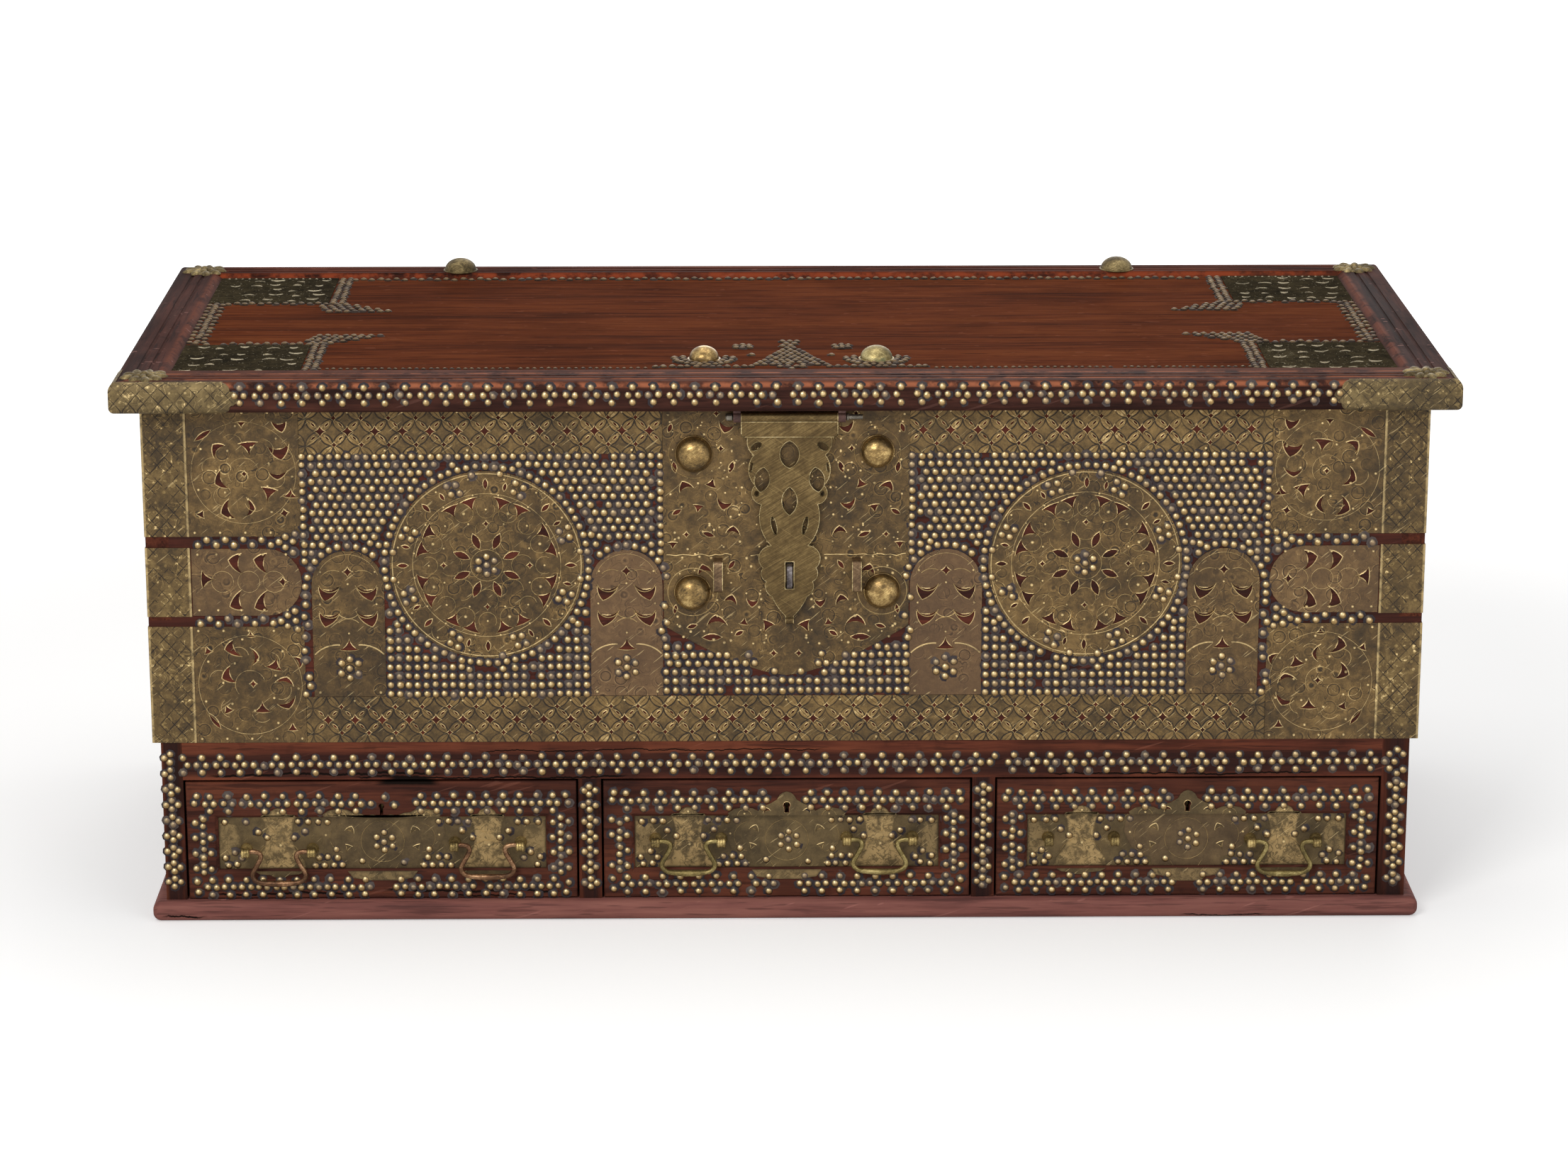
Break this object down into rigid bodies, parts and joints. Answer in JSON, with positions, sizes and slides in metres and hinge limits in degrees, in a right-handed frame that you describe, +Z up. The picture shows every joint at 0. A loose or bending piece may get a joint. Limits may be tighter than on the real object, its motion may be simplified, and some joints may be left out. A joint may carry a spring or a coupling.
{
  "type": "dowry chest",
  "caption": "Hardwood dowry chest with hinged framed lid, pierced hasp, brass-sheeted front, domed bosses, carrying handles and a row of locking drawers with swan-neck drop handles.",
  "frame": {"origin": "on the floor, under the middle of the lid", "axes": "+X along the front to the viewer's right, +Y to the back, +Z up; the front faces -Y"},
  "size_m": [1.27, 0.56, 0.553],
  "materials": {
    "frame_wood": "dark red-brown hardwood, waxed and worn",
    "board_wood": "red-brown hardwood, waxed and worn",
    "drawer_wood": "plain unfinished hardwood",
    "sheet_brass": "aged, engraved and pierced sheet",
    "cast_brass": "cast and rubbed",
    "hasp_brass": "brushed plate",
    "copper_brass": "reddish, oxidised",
    "lock_brass": "dull plate",
    "iron": "worn bright iron"
  },
  "bodies": {
    "carcass": {"base_board": "frame_wood", "case_side_left": "frame_wood", "case_side_right": "frame_wood", "case_back": "board_wood", "drawer_dividers": "frame_wood", "front_rail": "frame_wood", "chest_floor": "board_wood", "front_panel": "board_wood", "back_panel": "board_wood", "side_panel_left": "board_wood", "side_panel_right": "board_wood", "front_corner_bands": "sheet_brass", "front_border_plates": "sheet_brass", "front_centre_plate": "sheet_brass", "medallion_plates": "sheet_brass", "arch_plates": "sheet_brass", "front_bosses": "cast_brass", "lock_staple": "iron", "side_staples": "cast_brass", "hinge_body_leaves": "cast_brass", "hinge_pins": "cast_brass", "side_handle_mounts": "cast_brass"},
    "lid": {"lid_panel": "board_wood", "lid_front_rail": "frame_wood", "lid_back_rail": "frame_wood", "lid_end_rail_left": "frame_wood", "lid_end_rail_right": "frame_wood", "lid_corner_plates": "sheet_brass", "lid_edge_straps": "sheet_brass", "lid_bosses": "cast_brass", "hasp_eye_staples": "copper_brass", "hasp_pin": "cast_brass", "hinge_lid_leaves": "cast_brass"},
    "hasp": {"hasp_plate": "hasp_brass"},
    "carry_handle_left": {"side_handle_left": "cast_brass"},
    "carry_handle_right": {"side_handle_right": "cast_brass"},
    "drawer_1": {"drawer_1_front": "frame_wood", "drawer_1_walls": "drawer_wood", "drawer_1_bottom": "drawer_wood", "drawer_1_brass": "sheet_brass", "drawer_1_lock": "lock_brass"},
    "bolt_1": {"drawer_1_bolt": "iron"},
    "bail_1_left": {"drawer_1_bail_left": "cast_brass"},
    "bail_1_right": {"drawer_1_bail_right": "cast_brass"},
    "drawer_2": {"drawer_2_front": "frame_wood", "drawer_2_walls": "drawer_wood", "drawer_2_bottom": "drawer_wood", "drawer_2_brass": "sheet_brass", "drawer_2_lock": "lock_brass"},
    "bolt_2": {"drawer_2_bolt": "iron"},
    "bail_2_left": {"drawer_2_bail_left": "cast_brass"},
    "bail_2_right": {"drawer_2_bail_right": "cast_brass"},
    "drawer_3": {"drawer_3_front": "frame_wood", "drawer_3_walls": "drawer_wood", "drawer_3_bottom": "drawer_wood", "drawer_3_brass": "sheet_brass", "drawer_3_lock": "lock_brass"},
    "bolt_3": {"drawer_3_bolt": "iron"},
    "bail_3_right": {"drawer_3_bail_right": "cast_brass"}
  },
  "joints": [
    {"name": "lid_hinge", "type": "hinge", "parent": "carcass", "child": "lid", "pos_m": [0, 0.2674, 0.5056], "axis": [-1, 0, 0], "range_deg": [0, 100]},
    {"name": "hasp_hinge", "type": "hinge", "parent": "lid", "child": "hasp", "pos_m": [0.003, -0.2595, 0.502], "axis": [-1, 0, 0], "range_deg": [0, 105]},
    {"name": "carry_handle_left_swing", "type": "hinge", "parent": "carcass", "child": "carry_handle_left", "pos_m": [-0.622, 0, 0.392], "axis": [0, 1, 0], "range_deg": [-5, 95]},
    {"name": "carry_handle_right_swing", "type": "hinge", "parent": "carcass", "child": "carry_handle_right", "pos_m": [0.622, 0, 0.392], "axis": [0, -1, 0], "range_deg": [-5, 95]},
    {"name": "drawer_1_slide", "type": "slide", "parent": "carcass", "child": "drawer_1", "axis": [0, -1, 0], "range_m": [0, 0.36]},
    {"name": "bolt_1_throw", "type": "slide", "parent": "drawer_1", "child": "bolt_1", "axis": [0, 0, 1], "range_m": [0, 0.0075]},
    {"name": "bail_1_left_swing", "type": "hinge", "parent": "drawer_1", "child": "bail_1_left", "pos_m": [-0.49148, -0.26, 0.07], "axis": [-1, 0, 0], "range_deg": [-4, 110]},
    {"name": "bail_1_right_swing", "type": "hinge", "parent": "drawer_1", "child": "bail_1_right", "pos_m": [-0.28948, -0.26, 0.076], "axis": [-1, 0, 0], "range_deg": [-4, 110]},
    {"name": "drawer_2_slide", "type": "slide", "parent": "carcass", "child": "drawer_2", "axis": [0, -1, 0], "range_m": [0, 0.36]},
    {"name": "bolt_2_throw", "type": "slide", "parent": "drawer_2", "child": "bolt_2", "axis": [0, 0, 1], "range_m": [0, 0.0075]},
    {"name": "bail_2_left_swing", "type": "hinge", "parent": "drawer_2", "child": "bail_2_left", "pos_m": [-0.09495, -0.26, 0.079], "axis": [-1, 0, 0], "range_deg": [-4, 110]},
    {"name": "bail_2_right_swing", "type": "hinge", "parent": "drawer_2", "child": "bail_2_right", "pos_m": [0.09055, -0.26, 0.08], "axis": [-1, 0, 0], "range_deg": [-4, 110]},
    {"name": "drawer_3_slide", "type": "slide", "parent": "carcass", "child": "drawer_3", "axis": [0, -1, 0], "range_m": [0, 0.36]},
    {"name": "bolt_3_throw", "type": "slide", "parent": "drawer_3", "child": "bolt_3", "axis": [0, 0, 1], "range_m": [0, 0.0075]},
    {"name": "bail_3_right_swing", "type": "hinge", "parent": "drawer_3", "child": "bail_3_right", "pos_m": [0.48303, -0.26, 0.0765], "axis": [-1, 0, 0], "range_deg": [-4, 110]}
  ]
}
